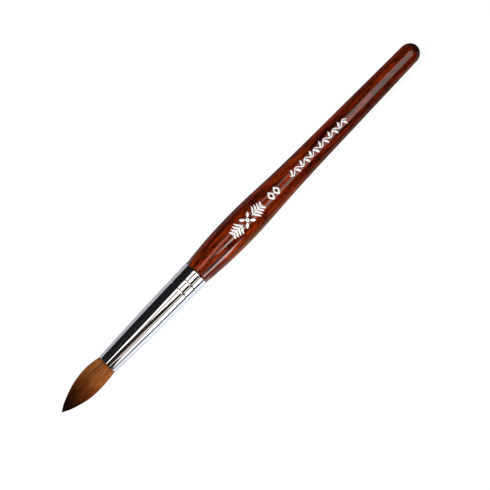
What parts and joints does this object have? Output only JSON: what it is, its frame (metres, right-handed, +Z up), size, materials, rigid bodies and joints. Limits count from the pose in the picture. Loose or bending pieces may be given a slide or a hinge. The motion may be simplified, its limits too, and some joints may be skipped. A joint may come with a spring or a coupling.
{
  "type": "acrylic nail brush",
  "caption": "Round pointed natural-hair brush for acrylic nails: tapered plated ferrule, crimped onto a turned, lacquered wooden handle.",
  "frame": {"origin": "under the middle of the brush's length, level with the lowest face of the handle's belly", "axes": "+X along the brush's axis from the hair's point to the handle's tail, +Z up, the brush lying on its side"},
  "size_m": [0.175, 0.0116, 0.0117],
  "materials": {
    "lacquered_wood": "gloss",
    "plated_metal": "polished",
    "natural_hair": "satin",
    "thread": "matte",
    "resin": "gloss",
    "adhesive": "satin"
  },
  "bodies": {
    "root": {"handle": "lacquered_wood", "ferrule": "plated_metal", "hair_tuft": "natural_hair", "binding_thread": "thread", "resin_plug": "resin", "tenon_glue": "adhesive"}
  },
  "joints": []
}
